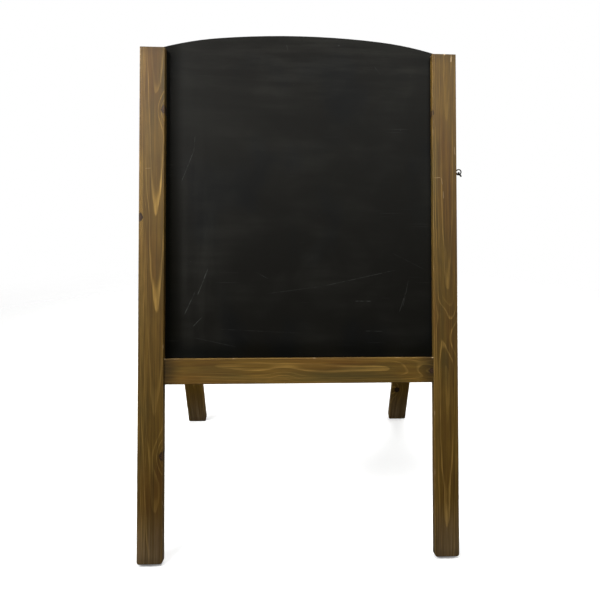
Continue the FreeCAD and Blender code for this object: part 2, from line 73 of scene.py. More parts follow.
def noise(tree, vector, seed, detail=2.0, roughness=0.5, distortion=0.0):
    # the pattern's size comes from the vector, which is already scaled
    inputs = {"Vector": vector, "W": seed, "Scale": 1.0, "Detail": detail,
              "Roughness": roughness, "Distortion": distortion}
    return addNode(tree, "TexNoise", inputs, noise_dimensions="4D").outputs["Fac"]


def drift(tree, source, amount):
    # a noise centred on zero, amount to each side
    return calc(tree, "MULTIPLY", calc(tree, "SUBTRACT", source, 0.5), 2 * amount)


def mixColour(tree, factor, first, second):
    node = tree.nodes.new("ShaderNodeMix")
    node.data_type = "RGBA"
    for socket, source in ((node.inputs[0], factor), (node.inputs[6], first), (node.inputs[7], second)):
        if isinstance(source, bpy.types.NodeSocket):
            tree.links.new(source, socket)
        elif socket.type == "RGBA":
            socket.default_value = (*source, 1.0)
        else:
            socket.default_value = source
    return node.outputs[2]


def scaleColour(tree, colour, factor):
    node = addNode(tree, "VectorMath", {0: colour, "Scale": factor}, operation="SCALE")
    return node.outputs[0]


def bump(tree, height, strength):
    inputs = {"Height": height, "Distance": 1.0, "Strength": strength}
    return addNode(tree, "Bump", inputs).outputs["Normal"]


def newFinish(name, **shaderSettings):
    material = bpy.data.materials.new(name)
    material.use_nodes = True
    tree = material.node_tree
    shader = tree.nodes["Principled BSDF"]
    for socket, setting in shaderSettings.items():
        shader.inputs[socket.replace("_", " ")].default_value = setting
    return material, tree, shader


def connect(tree, shader, **sources):
    for socket, source in sources.items():
        tree.links.new(source, shader.inputs[socket.replace("_", " ")])


def framePlace(tree, side):
    # Coordinates in a frame's own upright drawing: x across, y from the hinge plane, z up the sticks
    place = addNode(tree, "TexCoord").outputs["Object"]
    inputs = {"Vector": place, "Location": hingeAxis, "Rotation": (side * leanAngle, 0, 0)}
    return addNode(tree, "Mapping", inputs, vector_type="TEXTURE").outputs["Vector"]


strokeShape = {"ends": (0.52, 0.36), "sides": (1.0, 0.15), "ragged": 0.8}


def strokes(tree, place, lines, ragged):
    # Scratches and chips, listed one by one: start (x, z), end (x, z), width and strength
    marks = None
    for start, end, width, strength in lines:
        reach = hypot(end[0] - start[0], end[1] - start[1])
        turn = -atan2(end[1] - start[1], end[0] - start[0])
        inputs = {"Vector": place, "Location": (start[0], 0, start[1]), "Rotation": (0, turn, 0),
                  "Scale": (reach, 1, width)}
        local = addNode(tree, "Mapping", inputs, vector_type="TEXTURE").outputs["Vector"]
        x, _, z = addNode(tree, "SeparateXYZ", {0: local}).outputs
        middle = calc(tree, "ABSOLUTE", calc(tree, "SUBTRACT", x, 0.5))
        beside = calc(tree, "ABSOLUTE", calc(tree, "ADD", z, drift(tree, ragged, strokeShape["ragged"])))
        mark = calc(tree, "MULTIPLY", fade(tree, middle, *strokeShape["ends"]),
                    fade(tree, beside, *strokeShape["sides"]))
        mark = calc(tree, "MULTIPLY", mark, strength)
        marks = mark if marks is None else calc(tree, "MAXIMUM", marks, mark)
    return marks


def dress(names, material):
    for name in names:
        nodes[name].material_slots[0].material = material
    print("  ", material.name, "on", ", ".join(names))


# Stained knotty pine. Noise is given as features to a metre, across and along the stick
pine = {
    "stain": (0.071, 0.0385, 0.0050),       # earlywood, which drinks the stain
    "stainRed": (0.081, 0.0375, 0.0046),
    "stainOlive": (0.057, 0.0385, 0.0074),
    "lateLine": (0.255, 0.152, 0.0350),     # latewood lines stay golden
    "knotHeart": (0.0125, 0.0060, 0.0034),
    "knotRing": (0.062, 0.029, 0.0120),
    "bareWood": (0.42, 0.30, 0.165),        # where an edge has rubbed through
    "dust": (0.112, 0.079, 0.046),          # greys the sticks just above the floor
    "fineBeyond": (0.010, 0.024),           # thin lines keep this far from the pith
    "specular": 0.20,
    "gloss": (0.46, 0.58),
    "endGrain": 0.50,                       # how far the stain darkens the sawn ends
    "sawnEnd": 0.0006,
    "soakAndShade": 0.026,                          # how far up a stick its end drinks stain; on the front rail, how far the painted shade beside the posts reaches
    "soakedAndShaded": 0.74,
    "dustReach": 0.120,
    "edgeWear": 0.0016,
    "lineRelief": 0.00008,
    "fibreRelief": 0.00005,
    "relief": 0.7,
    "slow": (9, 3.6),                       # how the pith wanders across
    "slower": (5, 2.4),                     # and into the stick
    "quick": (46, 13),                      # a ripple on the rings
    "rippleReach": 0.0010,
    "crowding": 1.35,                       # rings lie closer further from the pith
    "fineLines": 4.0,                       # thin lines in each ring
    "ringLine": ((0.70, 0.90), (1.0, 0.95)),    # where in a ring its line comes and goes
    "fineLine": ((0.35, 0.75), (1.0, 0.80)),
    "patchy": (60, 6),
    "finePatch": (110, 8),
    "fibre": (1500, 34),
    "strand": (420, 6),
    "cloud": (24, 6.5),                     # uneven stain
    "hue": (34, 3.6),
    "pores": (2600, 110),
    "rubSpots": (190, 42),
    "cloudShade": (0.76, 1.20),
    "strandShade": (0.70, 1.32),
    "fibreShade": (0.80, 1.20),
    "poreShade": (1.0, 0.70),
    "swellReach": (2.2, 4.8),               # across and along, in sizes of the knot
    "swellBulge": 0.7,
    "knotBulge": 1.5,
    "knotOval": 0.80,
    "knotRagged": 0.45,
    "heartRings": 3.2,
    "barkStrength": 0.9,
    "rubStrength": 0.6,
    "edgeHighlight": 0.22,                       # painted highlight: long edges show a little golden, as where rounded edges catch light
}

# Each stick: where the tree's pith lay from its middle (across, deep), how it runs off along the
# stick (across, deep, and a bow), the first ring's width, which ring shows (ringShift), how much
# the pith wanders, how strong its lines are (contrast), how light it is (tone), knots (across,
# along, size), swells of the grain with no knot, and marks. Along is zero at the top end of a post
# or leg and at the middle of a rail, and is negative below or to the left.
sticks = {
    "front_post_left": dict(
        side=front, seed=1.7, pith=(0.0095, 0.0127), runOff=(0.000, 0.0231, 0.0), ringWidth=0.0090,
        ringShift=-0.12, wander=0.0010, contrast=0.80, tone=0.98,
        knots=[(0.0225, -0.118, 0.0058), (-0.0220, -0.321, 0.0062), (0.0235, -0.763, 0.0066)],
        marks=[((-0.012, -0.230), (-0.001, -0.229), 0.0006, 0.30),
               ((-0.022, -0.001), (-0.022, -0.030), 0.0008, 0.35)]),
    "front_post_right": dict(
        side=front, seed=4.3, pith=(0.0060, 0.0180), runOff=(-0.006, 0.0120, 0.0), ringWidth=0.0066,
        ringShift=0.20, wander=0.0026, contrast=0.56, tone=1.05,
        knots=[(-0.0245, -0.115, 0.0044)],
        swells=[(0.0110, -0.548, 0.0085), (-0.004, -0.500, 0.0060)],
        marks=[((-0.021, -0.241), (-0.008, -0.240), 0.0007, 0.42),
               ((-0.0068, -0.241), (-0.0045, -0.254), 0.0006, 0.34),
               ((-0.0035, -0.266), (-0.0025, -0.281), 0.0008, 0.34),
               ((-0.001, -0.001), (0.0025, -0.0015), 0.0016, 1.0),
               ((0.0140, -0.002), (0.0135, -0.016), 0.0013, 0.80),
               ((0.0190, -0.180), (0.0195, -0.196), 0.0007, 0.45)]),
    "front_rail": dict(
        side=front, seed=7.9, pith=(0.0060, 0.0190), runOff=(0.014, 0.004, 0.045), ringWidth=0.0078,
        # the rail's darker ends, set on this line, are painted shade where it meets the posts
        ringShift=0.30, wander=0.0030, contrast=0.46, tone=1.26, soakedAndShaded=0.26, soakAndShade=0.045,
        knots=[(-0.002, 0.2515, 0.0048)],
        swells=[(0.004, 0.224, 0.0070), (-0.010, -0.030, 0.0060)],
        marks=[((0.0236, 0.2500), (0.0236, 0.2545), 0.0018, 1.0),
               ((0.0236, -0.1265), (0.0236, -0.1235), 0.0010, 0.55),
               ((0.0236, 0.0230), (0.0236, 0.0285), 0.0009, 0.55),
               ((0.0236, -0.2530), (0.0236, -0.2500), 0.0012, 0.70)]),
    # painted light: the rear legs' high tone stands in for light bounced up from the floor
    "rear_leg_left": dict(
        side=rear, seed=11.2, pith=(-0.0080, 0.0160), runOff=(0.010, 0.0120, 0.0), ringWidth=0.0080,
        ringShift=0.3, wander=0.0030, contrast=0.70, tone=1.95, knots=[(0.010, -0.530, 0.0055)]),
    "rear_leg_right": dict(
        side=rear, seed=14.6, pith=(0.0120, 0.0150), runOff=(-0.006, 0.0180, 0.0), ringWidth=0.0086,
        ringShift=0.1, wander=0.0034, contrast=0.70, tone=1.75,
        knots=[(-0.0095, -0.853, 0.0066), (0.012, -0.395, 0.0045)]),
    "rear_top_rail": dict(
        side=rear, seed=18.1, pith=(0.0050, 0.0150), runOff=(0.012, 0.010, 0.10), ringWidth=0.0082,
        ringShift=0.5, wander=0.0036, contrast=0.70, knots=[(0.008, -0.140, 0.0050)]),
    "rear_lower_rail": dict(
        side=rear, seed=21.4, pith=(-0.0060, 0.0140), runOff=(0.008, 0.012, 0.12), ringWidth=0.0086,
        ringShift=0.7, wander=0.0036, contrast=0.70, knots=[(-0.012, 0.095, 0.0060)]),
}


def stickSize(name):
    # A stick's box in its frame's upright drawing, from its mesh
    turnBack = Matrix.Rotation(-sticks[name]["side"] * leanAngle, 3, "X")
    points = [turnBack @ (vertex.co - hingeAxis) for vertex in nodes[name].data.vertices]
    low = Vector(min(point[i] for point in points) for i in range(3))
    high = Vector(max(point[i] for point in points) for i in range(3))
    return low, high


def stickPlace(tree, name, low, high):
    # (across, deep, along) from the middle of the stick
    x, y, z = addNode(tree, "SeparateXYZ", {0: framePlace(tree, sticks[name]["side"])}).outputs
    middle = (low + high) / 2
    deep = calc(tree, "SUBTRACT", y, middle.y)
    if high.z - low.z > high.x - low.x:
        return calc(tree, "SUBTRACT", x, middle.x), deep, calc(tree, "SUBTRACT", z, high.z)
    return calc(tree, "SUBTRACT", z, middle.z), deep, calc(tree, "SUBTRACT", x, middle.x)


def grain(tree, place, name, seed, **settings):
    across, along = pine[name]
    return noise(tree, stretch(tree, place, across, across, along), seed, **settings)


def ringRadius(tree, stick, place, across, deep, along):
    # Distance from a pith that runs off and wanders along the stick
    seed = stick["seed"]
    pithX, pithY = stick["pith"]
    runX, runY, bow = stick["runOff"]
    slow = grain(tree, place, "slow", seed, detail=2)
    slower = grain(tree, place, "slower", seed + 31, detail=1)
    quick = grain(tree, place, "quick", seed + 57, detail=2)
    fromPithX = chain(tree, "ADD", [
        calc(tree, "SUBTRACT", across, pithX),
        calc(tree, "MULTIPLY", along, runX),
        drift(tree, slow, 1.6 * stick["wander"]),
    ])
    bowed = calc(tree, "MULTIPLY", calc(tree, "MULTIPLY", along, along), -bow)
    fromPithY = chain(tree, "ADD", [
        calc(tree, "SUBTRACT", deep, pithY),
        calc(tree, "MULTIPLY", along, runY),
        drift(tree, slower, stick["wander"]),
        bowed,
    ])
    flat = addNode(tree, "CombineXYZ", {"X": fromPithX, "Y": fromPithY}).outputs[0]
    radius = addNode(tree, "VectorMath", {0: flat}, operation="LENGTH").outputs["Value"]
    radius = calc(tree, "ADD", radius, drift(tree, quick, pine["rippleReach"]))
    return radius, calc(tree, "ABSOLUTE", fromPithX)


def swell(tree, radius, across, along, size, amount):
    # Rings bulge round a knot, whose branch runs through the stick
    wide, high = pine["swellReach"]
    near = calc(tree, "POWER", calc(tree, "DIVIDE", across, wide * size), 2.0)
    tall = calc(tree, "POWER", calc(tree, "DIVIDE", along, high * size), 2.0)
    bulge = calc(tree, "EXPONENT", calc(tree, "MULTIPLY", calc(tree, "ADD", near, tall), -1.0))
    return calc(tree, "ADD", radius, calc(tree, "MULTIPLY", bulge, amount * size))


def makePine(name):
    stick = sticks[name]
    seed = stick["seed"]
    low, high = stickSize(name)
    upright = high.z - low.z > high.x - low.x
    halfWidth = (high.x - low.x if upright else high.z - low.z) / 2
    halfDepth = (high.y - low.y) / 2
    length = high.z - low.z if upright else high.x - low.x
    material, tree, shader = newFinish(name + "_pine", Specular_IOR_Level=pine["specular"])
    across, deep, along = stickPlace(tree, name, low, high)
    place = addNode(tree, "CombineXYZ", {"X": across, "Y": deep, "Z": along}).outputs[0]
    radius, aside = ringRadius(tree, stick, place, across, deep, along)

    for swellAcross, swellAlong, size in stick.get("swells", ()):
        dx = calc(tree, "SUBTRACT", across, swellAcross)
        dz = calc(tree, "SUBTRACT", along, swellAlong)
        radius = swell(tree, radius, dx, dz, size, pine["swellBulge"])

    masks, barks, spans = [], [], []
    ragged = noise(tree, stretch(tree, place, 420, 120, 300), seed + 83, detail=2)
    for knotAcross, knotAlong, size in stick["knots"]:
        dx = calc(tree, "SUBTRACT", across, knotAcross)
        dz = calc(tree, "SUBTRACT", along, knotAlong)
        radius = swell(tree, radius, dx, dz, size, pine["knotBulge"])
        offset = addNode(tree, "CombineXYZ", {"X": dx, "Y": calc(tree, "MULTIPLY", dz, pine["knotOval"])})
        reach = addNode(tree, "VectorMath", {0: offset.outputs[0]}, operation="LENGTH")
        span = calc(tree, "DIVIDE", reach.outputs["Value"], size)
        span = calc(tree, "ADD", span, drift(tree, ragged, pine["knotRagged"]))
        masks.append(fade(tree, span, 1.0, 0.86))
        barks.append(calc(tree, "MULTIPLY", fade(tree, span, 0.66, 0.88), fade(tree, span, 1.14, 0.96)))
        spans.append(span)
    knotMask = chain(tree, "MAXIMUM", masks)
    barkMask = chain(tree, "MAXIMUM", barks)
    knotSpan = chain(tree, "MINIMUM", spans)

    # One golden line for each ring, closer together further out, and some hardly there
    rings = calc(tree, "POWER", calc(tree, "DIVIDE", radius, stick["ringWidth"]), pine["crowding"])
    rings = calc(tree, "ADD", rings, stick["ringShift"])
    phase = calc(tree, "FRACT", rings)
    comes, goes = pine["ringLine"]
    line = calc(tree, "MULTIPLY", fade(tree, phase, *comes), fade(tree, phase, *goes))
    ringNumber = calc(tree, "ADD", calc(tree, "FLOOR", rings), seed)
    luck = addNode(tree, "TexWhiteNoise", {"W": ringNumber}, noise_dimensions="1D").outputs["Value"]
    patchy = grain(tree, place, "patchy", seed + 11, detail=2)
    line = chain(tree, "MULTIPLY", [line, fade(tree, luck, 0.0, 1.0, 0.35, 1.0),
                                    fade(tree, patchy, 0.3, 0.6, 0.40, 1.0)])
    # thin lines within each ring
    finePhase = calc(tree, "FRACT", calc(tree, "MULTIPLY", rings, pine["fineLines"]))
    comes, goes = pine["fineLine"]
    fineLine = calc(tree, "MULTIPLY", fade(tree, finePhase, *comes), fade(tree, finePhase, *goes))
    finePatch = grain(tree, place, "finePatch", seed + 13, detail=2)
    fineLine = chain(tree, "MULTIPLY", [fineLine, fade(tree, finePatch, 0.34, 0.60, 0.0, 0.75),
                                        fade(tree, aside, *pine["fineBeyond"])])
    line = calc(tree, "MAXIMUM", line, fineLine)
    # short fibres break the lines up
    fibre = grain(tree, place, "fibre", seed + 3, detail=3, roughness=0.6)
    strand = grain(tree, place, "strand", seed + 5, detail=3, roughness=0.55)
    line = calc(tree, "MULTIPLY", line, fade(tree, strand, 0.30, 0.60, 0.55, 1.0))
    line = calc(tree, "MULTIPLY", line, stick["contrast"])

    # Stain takes unevenly
    cloud = grain(tree, place, "cloud", seed + 19, detail=3, distortion=0.4)
    hue = grain(tree, place, "hue", seed + 23, detail=2)
    colour = mixColour(tree, fade(tree, hue, 0.34, 0.66), pine["stainOlive"], pine["stainRed"])
    colour = mixColour(tree, fade(tree, cloud, 0.35, 0.62), colour, pine["stain"])
    colour = mixColour(tree, line, colour, pine["lateLine"])
    pores = grain(tree, place, "pores", seed + 41, detail=1)
    # tone is a stick's own lightness; on the rear legs it is partly painted light
    shade = chain(tree, "MULTIPLY", [
        stick.get("tone", 1.0),
        fade(tree, cloud, 0.28, 0.72, *pine["cloudShade"]),
        fade(tree, strand, 0.25, 0.75, *pine["strandShade"]),
        fade(tree, fibre, 0.25, 0.75, *pine["fibreShade"]),
        fade(tree, pores, 0.30, 0.20, *pine["poreShade"]),
    ])

    # Sawn ends drink more stain than the faces, and feet pick up dust; on the front rail the dark ends are
    # painted shade beside the posts
    if upright:
        fromFoot = calc(tree, "ADD", along, length)
        toEnd = calc(tree, "MINIMUM", calc(tree, "ABSOLUTE", along), calc(tree, "ABSOLUTE", fromFoot))
        dusty = calc(tree, "MULTIPLY", fade(tree, fromFoot, pine["dustReach"], 0.006),
                     fade(tree, strand, 0.3, 0.7, 0.25, 0.75))
        colour = mixColour(tree, dusty, colour, pine["dust"])
    else:
        toEnd = calc(tree, "SUBTRACT", length / 2, calc(tree, "ABSOLUTE", along))
    sawn = fade(tree, toEnd, pine["sawnEnd"], 0.0)
    soakAndShade = calc(tree, "MULTIPLY", fade(tree, toEnd, stick.get("soakAndShade", pine["soakAndShade"]), 0.0),
                fade(tree, strand, 0.3, 0.7, 0.45, 1.0))
    soakedAndShaded = stick.get("soakedAndShaded", pine["soakedAndShaded"])
    shade = calc(tree, "MULTIPLY", shade, fade(tree, soakAndShade, 0.0, 1.0, 1.0, soakedAndShaded))
    shade = calc(tree, "MULTIPLY", shade, fade(tree, sawn, 0.0, 1.0, 1.0, pine["endGrain"]))
    colour = scaleColour(tree, colour, shade)

    # Knots: dark heart with fine rings of its own, and a black ring of bark
    heartRings = calc(tree, "FRACT", calc(tree, "MULTIPLY", knotSpan, pine["heartRings"]))
    heart = mixColour(tree, fade(tree, heartRings, 0.2, 0.9), pine["knotHeart"], pine["knotRing"])
    colour = mixColour(tree, knotMask, colour, heart)
    bark = calc(tree, "MULTIPLY", barkMask, pine["barkStrength"])
    colour = mixColour(tree, bark, colour, pine["knotHeart"])

    # Long edges rub through to bare wood here and there
    wear = pine["edgeWear"]
    rubX = fade(tree, calc(tree, "ABSOLUTE", across), halfWidth - wear, halfWidth - 0.1 * wear)
    rubY = fade(tree, calc(tree, "ABSOLUTE", deep), halfDepth - wear, halfDepth - 0.1 * wear)
    endRub = calc(tree, "MULTIPLY", sawn, calc(tree, "MAXIMUM", rubX, rubY))
    corner = calc(tree, "ADD", calc(tree, "MULTIPLY", rubX, rubY), endRub, clamp=True)
    rubSpots = grain(tree, place, "rubSpots", seed + 67, detail=4, roughness=0.65)
    worn = chain(tree, "MULTIPLY", [fade(tree, corner, 0.05, 0.35), fade(tree, rubSpots, 0.56, 0.72),
                                    pine["rubStrength"]])
    # painted highlight: a golden line along every edge of the stick
    edgeHighlightMask = calc(tree, "MULTIPLY", fade(tree, corner, 0.0, 0.5), pine["edgeHighlight"])
    colour = mixColour(tree, edgeHighlightMask, colour, pine["lateLine"])
    if "marks" in stick:
        marks = strokes(tree, place, stick["marks"], ragged)
        facing = fade(tree, calc(tree, "MULTIPLY", deep, stick["side"]), 0.0, halfDepth, 0.0, 1.0)
        worn = calc(tree, "MAXIMUM", worn, calc(tree, "MULTIPLY", marks, facing))
    colour = mixColour(tree, worn, colour, pine["bareWood"])

    # Satin lacquer: flatter where the wood is open, smoother on the lines
    smooth, rough = pine["gloss"]
    gloss = chain(tree, "ADD", [
        fade(tree, fibre, 0.2, 0.8, smooth, rough),
        calc(tree, "MULTIPLY", line, -0.06),
        calc(tree, "MULTIPLY", sawn, 0.20),
        calc(tree, "MULTIPLY", worn, 0.15),
    ])
    relief = chain(tree, "ADD", [
        calc(tree, "MULTIPLY", line, pine["lineRelief"]),
        calc(tree, "MULTIPLY", fibre, pine["fibreRelief"]),
        calc(tree, "MULTIPLY", strand, pine["fibreRelief"]),
        calc(tree, "MULTIPLY", barkMask, -2 * pine["lineRelief"]),
    ])
    normal = bump(tree, relief, pine["relief"])
    connect(tree, shader, Base_Color=colour, Roughness=gloss, Normal=normal)
    return material


print("pine finishes")
for name in sticks:
    dress([name], makePine(name))


# The chalkboard. Noise is features to a metre across, through and up, then a turn in degrees
board = {
    "paint": (0.0028, 0.0026, 0.0016),
    "paintCool": (0.0019, 0.0021, 0.0018),
    "chalkAndSheen": (0.0262, 0.0262, 0.0215),       # chalk that a cloth has spread, and painted sheen on the top of the board
    "chalk": (0.16, 0.165, 0.155),
    "specular": 0.080,
    "gloss": (0.54, 0.66),                  # clean paint, hazy paint
    "rollerRelief": 0.000024,
    "relief": 0.6,
    "shadeStrip": 0.046,                        # painted shade: a strip this wide beside the left post and above the rail is left darker
    "shadeStripGloss": -0.26,
    "shadeStripSmear": 0.3,
    "aboveRail": 0.7,
    "swirl": (5.5, 5.5, 8.0, 24),
    "downWipe": (46, 1, 6, 4),
    "crossWipe": (7, 1, 60, -10),
    "wipedSmear": 0.24,
    "leftSmear": 0.16,
    "leftComes": (-0.240, -0.215),          # x of the wiped band on the left
    "leftGoes": (-0.120, -0.190),
    "leftDown": (-0.06, -0.34),
    "topSheen": 0.22,
    "topReach": (-0.14, -0.01),
    "dust": 2200,
    "roller": 650,
    "scratchRuns": [(31, 1.0, 900), (-47, 4.0, 1100), (78, 7.0, 800)],  # degrees, seed, fineness
    "scratchStrength": 0.09,
    "speckStrength": 0.25,
    "strokes": [
        ((-0.174, -0.418), (-0.194, -0.470), 0.0011, 0.42),
        ((-0.198, -0.462), (-0.218, -0.506), 0.0012, 0.32),
        ((-0.184, -0.509), (-0.202, -0.528), 0.0010, 0.36),
        ((-0.199, -0.165), (-0.202, -0.200), 0.0009, 0.22),
        ((-0.202, -0.196), (-0.226, -0.258), 0.0010, 0.34),
        ((-0.066, -0.466), (0.045, -0.451), 0.0008, 0.15),
        ((0.040, -0.452), (0.184, -0.420), 0.0009, 0.24),
        ((-0.084, -0.425), (-0.060, -0.438), 0.0009, 0.18),
        ((0.104, -0.480), (0.136, -0.480), 0.0010, 0.42),
        ((0.124, -0.537), (0.158, -0.538), 0.0010, 0.26),
        ((0.208, -0.438), (0.203, -0.466), 0.0009, 0.20),
        ((0.203, -0.462), (0.190, -0.502), 0.0009, 0.28),
        ((0.202, -0.470), (0.197, -0.490), 0.0009, 0.20),
        ((-0.165, -0.532), (0.004, -0.541), 0.0009, 0.12),
        ((-0.202, -0.548), (-0.118, -0.567), 0.0009, 0.16),
        ((0.174, -0.386), (0.246, -0.422), 0.0008, 0.10),
        ((-0.026, 0.013), (-0.024, 0.001), 0.0012, 0.22),
        ((0.072, 0.014), (0.076, 0.014), 0.0016, 0.60),
        ((0.220, -0.028), (0.213, -0.044), 0.0010, 0.16),
        ((0.143, -0.024), (0.156, -0.042), 0.0011, 0.12),
    ],
}


def boardNoise(tree, place, name, seed, **settings):
    x, y, z, turn = board[name]
    return noise(tree, stretch(tree, place, x, y, z, radians(turn)), seed, **settings)


def makeChalkboard():
    material, tree, shader = newFinish("chalkboard_paint", Specular_IOR_Level=board["specular"])
    place = framePlace(tree, front)
    x, _, z = addNode(tree, "SeparateXYZ", {0: place}).outputs

    # Wiped chalk: broad curved smears left by a cloth, most of it down the left side; the lighter band
    # across the top is painted sheen
    swirl = boardNoise(tree, place, "swirl", 2.0, detail=4, distortion=1.2)
    downWipe = boardNoise(tree, place, "downWipe", 5.0, detail=5, roughness=0.6)
    crossWipe = boardNoise(tree, place, "crossWipe", 8.0, detail=5, roughness=0.6)
    leftSide = calc(tree, "MULTIPLY", fade(tree, x, *board["leftComes"]), fade(tree, x, *board["leftGoes"]))
    leftSide = calc(tree, "MULTIPLY", leftSide, fade(tree, z, *board["leftDown"], 0.25, 1.0))
    leftSide = calc(tree, "MULTIPLY", leftSide, fade(tree, downWipe, 0.36, 0.66))
    # painted sheen: the top of the board is lighter, as if it reflected light from above
    topSide = calc(tree, "MULTIPLY", fade(tree, z, *board["topReach"]), fade(tree, crossWipe, 0.40, 0.66))
    wiped = calc(tree, "MULTIPLY", fade(tree, swirl, 0.40, 0.72),
                 fade(tree, crossWipe, 0.34, 0.66, 0.35, 1.0))
    smearAndSheen = chain(tree, "ADD", [
        calc(tree, "MULTIPLY", wiped, board["wipedSmear"]),
        calc(tree, "MULTIPLY", leftSide, board["leftSmear"]),
        calc(tree, "MULTIPLY", topSide, board["topSheen"]),
    ])
    dust = noise(tree, stretch(tree, place, *[board["dust"]] * 3), 3.0, detail=2)
    smearAndSheen = calc(tree, "MULTIPLY", smearAndSheen, fade(tree, dust, 0.35, 0.65, 0.60, 1.0))
    # painted shade: the strips beside the left post and above the rail get less smear, so they are darker,
    # and smoother
    reach = board["shadeStrip"]
    postEdge = stickSize("front_post_left")[1].x
    railTop = stickSize("front_rail")[1].z
    besidePost = fade(tree, x, postEdge + reach, postEdge + 0.2 * reach)
    aboveRail = fade(tree, z, railTop + reach, railTop + 0.2 * reach)
    shadeStrip = calc(tree, "MAXIMUM", besidePost, calc(tree, "MULTIPLY", aboveRail, board["aboveRail"]))
    smearAndSheen = calc(tree, "MULTIPLY", smearAndSheen, fade(tree, shadeStrip, 0.0, 1.0, 1.0, board["shadeStripSmear"]))
    coolPatch = noise(tree, stretch(tree, place, 9, 1, 6), 12.0, detail=2)
    colour = mixColour(tree, fade(tree, coolPatch, 0.50, 0.66), board["paint"], board["paintCool"])
    colour = mixColour(tree, smearAndSheen, colour, board["chalkAndSheen"])

    # Fine scratches in three directions, and the ones that stand out
    scratches = None
    for turn, seed, finest in board["scratchRuns"]:
        streaks = noise(tree, stretch(tree, place, 11, 1, finest, radians(turn)), seed, detail=0)
        patches = noise(tree, stretch(tree, place, 12, 1, 15, radians(turn)), seed + 0.5, detail=1)
        scratch = calc(tree, "MULTIPLY", fade(tree, streaks, 0.76, 0.82), fade(tree, patches, 0.54, 0.72))
        scratches = scratch if scratches is None else calc(tree, "MAXIMUM", scratches, scratch)
    scratches = calc(tree, "MULTIPLY", scratches, board["scratchStrength"])
    broken = noise(tree, stretch(tree, place, 90, 1, 90), 15.0, detail=3)
    drawn = strokes(tree, place, board["strokes"], broken)
    drawn = calc(tree, "MULTIPLY", drawn, fade(tree, broken, 0.36, 0.62, 0.08, 0.46))
    specks = noise(tree, stretch(tree, place, 520, 520, 520), 18.0, detail=1)
    specks = calc(tree, "MULTIPLY", fade(tree, specks, 0.80, 0.86), board["speckStrength"])
    chalk = chain(tree, "MAXIMUM", [scratches, drawn, specks])
    colour = mixColour(tree, chalk, colour, board["chalk"])

    clean, hazy = board["gloss"]
    sheen = chain(tree, "ADD", [
        fade(tree, smearAndSheen, 0.0, 0.6, clean, hazy),
        drift(tree, dust, 0.04),
        calc(tree, "MULTIPLY", shadeStrip, board["shadeStripGloss"]),
    ])
    roller = noise(tree, stretch(tree, place, *[board["roller"]] * 3), 9.0, detail=3, roughness=0.6)
    relief = calc(tree, "SUBTRACT", calc(tree, "MULTIPLY", roller, board["rollerRelief"]),
                  calc(tree, "MULTIPLY", scratches, board["rollerRelief"]))
    connect(tree, shader, Base_Color=colour, Roughness=sheen, Normal=bump(tree, relief, board["relief"]))
    return material


print("board finish")
dress(["front_board"], makeChalkboard())


# Metal parts
metals = {
    "zinc": dict(clean=(0.56, 0.57, 0.585), dull=(0.27, 0.27, 0.275), grime=(0.075, 0.068, 0.060),
                 roughness=(0.24, 0.46), grimeShare=(0.58, 0.74), spangle=700),
    "hookZinc": dict(clean=(0.34, 0.345, 0.35), dull=(0.10, 0.098, 0.095), grime=(0.028, 0.024, 0.020),
                     roughness=(0.22, 0.44), grimeShare=(0.50, 0.66), spangle=800),
    "bronzed": dict(clean=(0.030, 0.023, 0.018), dull=(0.012, 0.010, 0.009), grime=(0.006, 0.005, 0.0045),
                    roughness=(0.30, 0.52), grimeShare=(0.46, 0.66), spangle=900),
}


# Wear that all the metal has: features to a metre, and the depth of its relief
metalWear = {"cloud": 320, "dirt": 170, "brushed": (240, 5200, 5200),
             "brushRelief": 0.000010, "dirtRelief": 0.000022, "relief": 0.7}


def makeMetal(name, look, seed):
    material, tree, shader = newFinish(name, Metallic=1.0)
    place = addNode(tree, "TexCoord").outputs["Object"]
    size = look["spangle"]
    cells = addNode(tree, "TexVoronoi", {"Vector": stretch(tree, place, size, size, size), "Scale": 1.0})
    tone = addNode(tree, "RGBToBW", {0: cells.outputs["Color"]}).outputs[0]
    cloud = noise(tree, stretch(tree, place, *[metalWear["cloud"]] * 3), seed, detail=4, roughness=0.6)
    dirt = noise(tree, stretch(tree, place, *[metalWear["dirt"]] * 3), seed + 5, detail=5, roughness=0.65)
    brushed = noise(tree, stretch(tree, place, *metalWear["brushed"]), seed + 9, detail=2)
    colour = mixColour(tree, fade(tree, cloud, 0.3, 0.7), look["dull"], look["clean"])
    colour = mixColour(tree, fade(tree, dirt, *look["grimeShare"]), colour, look["grime"])
    colour = scaleColour(tree, colour, fade(tree, tone, 0.0, 1.0, 0.90, 1.08))
    smooth, rough = look["roughness"]
    gloss = calc(tree, "ADD", fade(tree, cloud, 0.7, 0.3, smooth, rough),
                 fade(tree, brushed, 0.3, 0.7, -0.04, 0.05))
    relief = calc(tree, "ADD", calc(tree, "MULTIPLY", brushed, metalWear["brushRelief"]),
                  calc(tree, "MULTIPLY", dirt, metalWear["dirtRelief"]))
    normal = bump(tree, relief, metalWear["relief"])
    connect(tree, shader, Base_Color=colour, Roughness=gloss, Normal=normal)
    return material


print("metal finishes")
zincPieces = [name for name in nodes if name.startswith("hinge_") or name == "board_screws"]
dress(zincPieces, makeMetal("zinc_plate", metals["zinc"], 2.0))
dress(["stay_hook"], makeMetal("hook_zinc", metals["hookZinc"], 4.0))
dress(["stay_front_eye", "stay_rear_eye"], makeMetal("bronzed_wire", metals["bronzed"], 6.0))

# Dowels
beech = {"pale": (0.50, 0.33, 0.185), "fleck": (0.33, 0.19, 0.095), "grain": (40, 900, 900),
         "flecks": (260, 2600, 2600), "specular": 0.35, "gloss": (0.62, 0.78),
         "grainRelief": 0.00006, "relief": 0.6}


